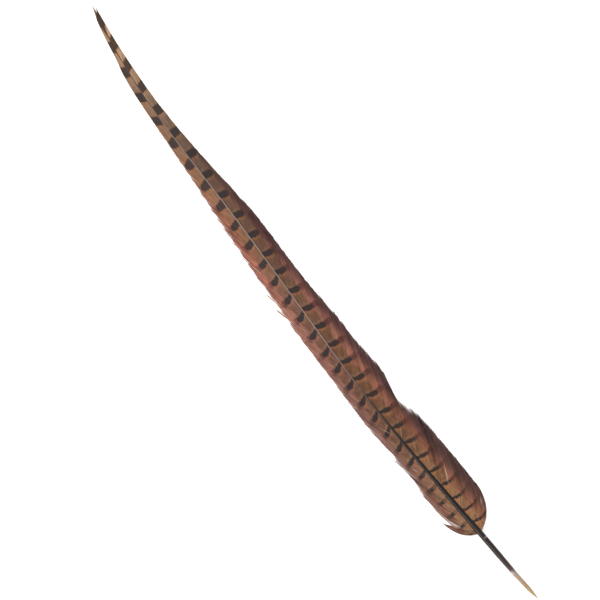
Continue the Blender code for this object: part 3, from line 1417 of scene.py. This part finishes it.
NARROW_FINISH = BarbFinish(
    name="barred_keratin_barbs_narrow",
    cell_middle=(
        (66, "8e6950"), (93, "8e6950"), (144, "74533f"), (199, "724d3c"), (259, "785445"),
        (324, "8a6148"), (396, "936c51"), (453, "8f6f5a"), (480, "a98668"), (515, "c79f80"),
    ),
    cell_start=(
        (66, "926d53"), (93, "926d53"), (144, "866148"), (199, "805a46"), (259, "7f5b4e"),
        (324, "8b634a"), (396, "936c51"), (453, "826954"), (480, "a98668"), (515, "c79f80"),
    ),
    cell_end=(
        (66, "976a50"), (93, "976a50"), (144, "8a5b41"), (199, "885a44"), (259, "8d6252"),
        (324, "98674c"), (396, "9e7050"), (453, "9c7c63"), (480, "b89476"), (515, "c79f80"),
    ),
    band=(
        (66, "825b47"), (93, "7c5343"), (144, "7b5747"), (199, "8f6456"), (259, "986858"),
        (324, "a5684d"), (396, "a87856"), (453, "a9866b"), (515, "c79f80"),
    ),
    rim=(
        (66, "8a5f50"), (93, "84594d"), (144, "86605a"), (199, "8a5f55"), (259, "a36c5b"),
        (324, "9b5c4b"), (396, "92644c"), (453, "a9866b"), (515, "c79f80"),
    ),
    bar=(
        (66, "38302f"), (199, "352c2c"), (259, "3c3132"), (324, "433532"), (396, "4a3b37"),
        (453, "463934"), (500, "503c30"),
    ),
    stripe=(
        (66, "593c36"), (144, "5e3f38"), (199, "6a433c"), (259, "74453e"), (324, "804e41"),
        (396, "8a5c48"), (453, "5c4840"),
    ),
    bar_shape=(
        (0.0, 1.0), (0.48, 1.0), (0.60, 0.92), (0.69, 0.72), (0.75, 0.45), (0.79, 0.0), (1.0, 0.0),
    ),
    band_reach=(5.6, 7.8),
    rim_reach=(8.0, 11.5),
    stripe_reach=(6.4, 7.2, 8.8, 11.0),
    tip_brown=(486.0, 496.0, 512.0, 519.0),
    bar_fades=(100.0, 124.0),
    streak=0.6,
    rim_streak=1.5,
    depth=0.82,
)


@dataclass(frozen=True)
class Lamp:
    """A square soft light that faces the middle of the floor, in metres and watts."""

    name: str
    place: tuple[float, float, float]
    size: float
    power: float


@dataclass
class Studio:
    """A pale sweep, soft light from above and a long lens that looks straight down."""

    frame_width: float = 0.42
    lens: float = 200.0
    sensor: float = 36.0
    aim: tuple[float, float] = (0.0061, 0.0029)
    roll: float = -126.665
    floor_size: float = 8.0
    floor_colour: str = "fbfbfb"
    floor_glow: float = 0.3
    fibres_a_metre: float = 900.0
    surround: float = 0.94
    lamps: tuple[Lamp, ...] = (
        Lamp("key", (-0.35, 1.35, 1.15), 0.62, 13.0), Lamp("fill", (0.9, -0.7, 1.6), 1.4, 14.0),
    )

    def build(self) -> None:
        """Makes the floor, the surroundings, the lights and the camera."""
        self._floor()
        self._world()
        for lamp in self.lamps:
            self._hang(lamp)
        self._camera()
        bpy.context.scene.view_settings.view_transform = "Standard"

    def _floor(self) -> None:
        """A wide sheet of matt paper that glows faintly, so that shadows stay pale."""
        bpy.ops.object.select_all(action="DESELECT")
        bpy.ops.mesh.primitive_grid_add(x_subdivisions=8, y_subdivisions=8, size=self.floor_size)
        floor = bpy.context.object
        floor.name = "paper_sweep"
        sheet = MaterialSheet("matt_background_paper")
        add = sheet.add
        # The paper's fibres are some 1 mm long.
        place = add("TexCoord", out="Object")
        scale = self.fibres_a_metre
        fibre = add("TexNoise", {"Vector": place, "Scale": scale, "Detail": 2.0})
        shade = add("MapRange", (fibre, 0.3, 0.7, 0.992, 1.0))
        white = linear_colour(self.floor_colour)
        sheet.set(sheet.shader, {
            "Base Color": add("Mix", {0: 1.0, 6: white, 7: shade}, 2, **TINT),
            "Roughness": 0.95, "Specular IOR Level": 0.1,
            "Emission Color": linear_colour("ffffff"), "Emission Strength": self.floor_glow,
        })
        floor.data.materials.append(sheet.material)

    def _world(self) -> None:
        """Even white light from all round."""
        world = bpy.data.worlds.new("white_studio")
        world.use_nodes = True
        background = world.node_tree.nodes["Background"]
        background.inputs["Color"].default_value = (1.0, 1.0, 1.0, 1.0)
        background.inputs["Strength"].default_value = self.surround
        bpy.context.scene.world = world

    @staticmethod
    def _hang(lamp: Lamp) -> None:
        """Hangs a lamp.

        Args:
            lamp: The lamp's place, size and power.
        """
        light = bpy.data.lights.new(lamp.name, "AREA")
        light.shape, light.size, light.energy = "SQUARE", lamp.size, lamp.power
        holder = bpy.data.objects.new(lamp.name, light)
        x, y, z = holder.location = lamp.place
        holder.rotation_euler = (math.atan2(math.hypot(x, y), z), 0.0, math.atan2(-x, y) + math.pi)
        bpy.context.scene.collection.objects.link(holder)

    def _camera(self) -> None:
        """Looks straight down, rolled so that the quill points to the lower right."""
        camera = bpy.data.cameras.new("overhead")
        camera.lens, camera.sensor_width = self.lens, self.sensor
        camera.clip_start, camera.clip_end = 0.05, 50.0
        holder = bpy.data.objects.new("overhead", camera)
        holder.location = (*self.aim, self.frame_width * self.lens / self.sensor)
        holder.rotation_euler = (0.0, 0.0, math.radians(self.roll))
        bpy.context.scene.collection.objects.link(holder)
        bpy.context.scene.camera = holder


def broad_web(line: ShaftLine) -> Web:
    """Plans the broad web.

    Args:
        line: The shaft's axis.

    Returns:
        The web, ready to build.
    """
    return Web(
        name="broad_web_barbs", node="broad_vane", slot="broad_barbs", side=Side.BROAD,
        line=line, seed=11, finish=BROAD_FINISH,
        bars=BarPlan(
            shift=Course((
                (69, 0), (80, -1.2), (92, -2.1), (118, -2.25), (143, -1.7), (158, -1.4),
                (171, -1.3), (185, -0.5), (199, 0.1), (229, 0.3), (245, 0.75), (276, 0.4),
                (292, 0.6), (307, -0.5), (324, -0.7), (360, -0.9), (414, -0.6), (454, 0.6),
                (473, -0.7), (492, -2.0), (515, -4.0),
            )),
            lean=Course((
                (60, 0.2), (140, 0.2), (200, 0.06), (340, 0.08), (400, 0), (440, 0), (460, -0.6),
                (520, -0.8),
            )),
            foot=Course((
                (60, 0.3), (140, 0.5), (200, 1.4), (300, 1.2), (322, 0.5), (345, 1.0), (390, 0.4),
                (430, 0),
            )),
            half=Course((
                (60, 0.095), (100, 0.105), (160, 0.132), (240, 0.144), (400, 0.168), (453, 0.2),
                (472, 0.23), (492, 0.27),
            )),
            stem=Course(((60, 0.5), (110, 0.5), (180, 0.65), (260, 0.78), (360, 0.9), (420, 1.0))),
            zone=Course((
                (60, 1.0), (200, 1.02), (240, 1.07), (300, 1.1), (341, 1.17), (400, 1.25),
                (430, 1.3),
            )),
            rim=Course((
                (60, 1.0), (200, 1.0), (240, 1.03), (290, 1.14), (320, 1.28), (341, 1.48),
                (377, 1.6),
            )),
            curl=Course(((60, 5.5), (100, 5.0), (140, 3.4), (190, 1.2), (300, 0.6), (400, 0))),
        ),
        edge=Course((
            (62, 3.0), (88, 20.6), (96, 20.8), (140, 21.2), (151, 20.6), (159, 19.0), (165, 17.0),
            (170, 15.9), (175, 16.3), (181, 17.6), (187, 19.0), (194, 20.4), (202, 20.2),
            (210, 19.4), (218, 18.3), (228, 17.6), (243, 17.2), (259, 15.9), (275, 14.4),
            (339, 12.6), (379, 9.0), (440, 5.2), (465, 4.4), (491, 3.0), (506, 1.9), (519, 0.7),
        )),
        lead=Course((
            (62, 26), (70, 33), (80, 40), (104, 46), (209, 46), (275, 40), (339, 38), (379, 34),
            (440, 27), (491, 16), (505, 10), (513, 6.6),
        )),
        bow=Course(((62, 33), (72, 24), (90, 16), (120, 13), (300, 12), (440, 8), (513, 4))),
        bow_out=Course(((62, 28), (68, 18), (80, 11), (100, 8), (513, 7))),
        partings=(Parting(126.0, 1.6, 1.0, spread=3.0, starts=0.7),),
        pale_barbs=(
            PaleBarb(108.3, 9.2, 4.2, 0.9, 0.5), PaleBarb(122.9, 4.6, 4.0, 0.35, 0.3),
            PaleBarb(137.6, 4.6, 4.0, 0.35, 0.3), PaleBarb(150.5, 2.6, 2.2, 0.6),
            PaleBarb(86.4, 5.2, 3.0, 0.3), PaleBarb(77.6, 15.0, 1.8, 0.45),
        ),
    )


def narrow_web(line: ShaftLine) -> Web:
    """Plans the narrow web.

    Args:
        line: The shaft's axis.

    Returns:
        The web, ready to build.
    """
    return Web(
        name="narrow_web_barbs", node="narrow_vane", slot="narrow_barbs", side=Side.NARROW,
        line=line, seed=23, finish=NARROW_FINISH, fringe=0.55,
        bars=BarPlan(
            shift=Course((
                (62, 6.6), (65.5, 6.1), (72, 3.5), (82, 2.2), (94, 1.2), (106, 0.6), (118, 0.0),
                (130, -0.7), (157, -1.0), (185, -0.9), (212, -0.9), (228, -2.0), (257, -2.3),
                (272, -3.2), (288, -3.3), (302, -5.3), (320, -5.6), (354, -6.5), (390, -6.7),
                (412, -6.4), (430, -5.5), (468, -4.9), (490, -5.4),
            )),
            lean=Course((
                (60, 0.04), (100, 0.06), (125, 0.25), (150, 0.3), (200, 0.08), (360, 0.0),
                (400, -0.1), (430, -0.5), (520, -0.9),
            )),
            foot=Course((
                (60, 0.3), (110, 0.8), (180, 2.2), (288, 2.2), (303, 1.3), (336, 1.3), (354, 0.8),
                (410, 0.9), (424, 0), (450, 0), (466, 1.5),
            )),
            half=Course((
                (60, 0.12), (100, 0.145), (180, 0.165), (240, 0.165), (330, 0.165), (400, 0.17),
                (453, 0.2), (500, 0.24),
            )),
            stem=Course((
                (60, 0.95), (100, 0.85), (125, 0.55), (180, 0.58), (285, 0.65), (303, 0.85),
                (325, 0.85), (354, 1.15), (410, 1.3), (430, 0.95),
            )),
            zone=Course((
                (60, 0.96), (100, 0.98), (130, 1.05), (200, 1.05), (300, 1.12), (380, 1.2),
                (420, 1.25),
            )),
            rim=Course(((60, 1.0), (300, 1.08), (380, 1.25))),
            curl=Course(((60, 7.0), (100, 5.0), (130, 1.5), (200, 0.5), (400, 0))),
        ),
        edge=Course((
            (62, 3.0), (80, 14.6), (82.5, 15.4), (86, 14.0), (96, 12.9), (106, 13.2), (112, 12.2),
            (118, 11.6), (126, 11.5), (136, 12.4), (142, 11.2), (150, 11.8), (158, 12.4),
            (166, 12.7), (206, 12.0), (230, 12.5), (262, 12.5), (272, 12.2), (302, 12.2),
            (318, 11.6), (334, 10.5), (350, 9.5), (366, 8.6), (382, 7.5), (398, 6.5), (414, 5.7),
            (430, 5.2), (460, 4.6), (468, 4.1), (476, 3.1), (484, 2.5), (494, 2.4), (508, 2.3),
            (522, 1.1),
        )),
        lead=Course((
            (62, 20.5), (66.6, 15.9), (66.9, 34), (80, 39), (104, 41), (285, 41), (314, 38),
            (363, 32), (418, 27), (471, 22), (491, 18), (505, 14), (513, 9.8),
        )),
        bow=Course((
            (62, 35), (66.6, 15), (66.9, 39), (70, 35), (76, 26), (90, 14), (110, 8.5), (400, 6.5),
            (513, 3),
        )),
        bow_out=Course(((62, 25), (66.6, 9), (66.9, 16), (75, 12), (90, 8), (110, 6), (513, 5))),
        gather=Course((
            (62, 0), (70, 0), (78, 0.6), (140, 0.6), (160, 0.35), (205, 0.35), (225, 0.55),
            (350, 0.55), (400, 0.35), (513, 0.2),
        )),
        tufts=(
            Tuft(95.7, 13.3, 4, pale=0.2), Tuft(101.5, 13.3, 4, pale=0.3),
            Tuft(108.2, 13.8, pale=0.2), Tuft(111.0, 12.9, 4, pale=0.35),
            Tuft(139.5, 13.5, pale=0.25), Tuft(172.0, 13.3, 3), Tuft(223.0, 12.7, 3),
            Tuft(243.0, 13.0, 3), Tuft(257.2, 13.4, 4, pale=0.35),
            Tuft(271.8, 15.1, 7, 0.24, starts=0.45, pale=0.32),
            Tuft(284.0, 14.3, 7, 0.24, starts=0.45, pale=0.42), Tuft(299.0, 13.0, 3, pale=0.25),
            Tuft(316.4, 13.0, 4, pale=0.4), Tuft(328.8, 12.2, 4, pale=0.4),
            Tuft(340.4, 11.6, 5, pale=0.3), Tuft(348.4, 11.1, 4, pale=0.3),
            Tuft(356.4, 10.5, 4, pale=0.25), Tuft(369.0, 9.4, 3, pale=0.2),
        ),
        pale_barbs=(
            PaleBarb(124.0, 6.0, 2.2, 0.9, 0.6), PaleBarb(157.6, 4.2, 2.4, 0.5),
            PaleBarb(304.0, 6.9, 2.0, 0.4), PaleBarb(324.4, 7.4, 1.2, 0.45),
            PaleBarb(353.7, 4.0, 3.0, 0.35, 0.3),
        ),
    )


def main() -> None:
    """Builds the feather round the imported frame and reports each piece."""
    logging.basicConfig(level=logging.INFO, format="%(name)s: %(message)s")
    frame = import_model()
    line = ShaftLine(frame["nodes"]["shaft"])
    LOG.info("shaft line: %.1f mm", line.length)
    Shaft(line).build()
    SkinFlake(line).build()
    for web in (broad_web(line), narrow_web(line)):
        web.build()
    Studio().build()


if __name__ == "__main__":
    main()
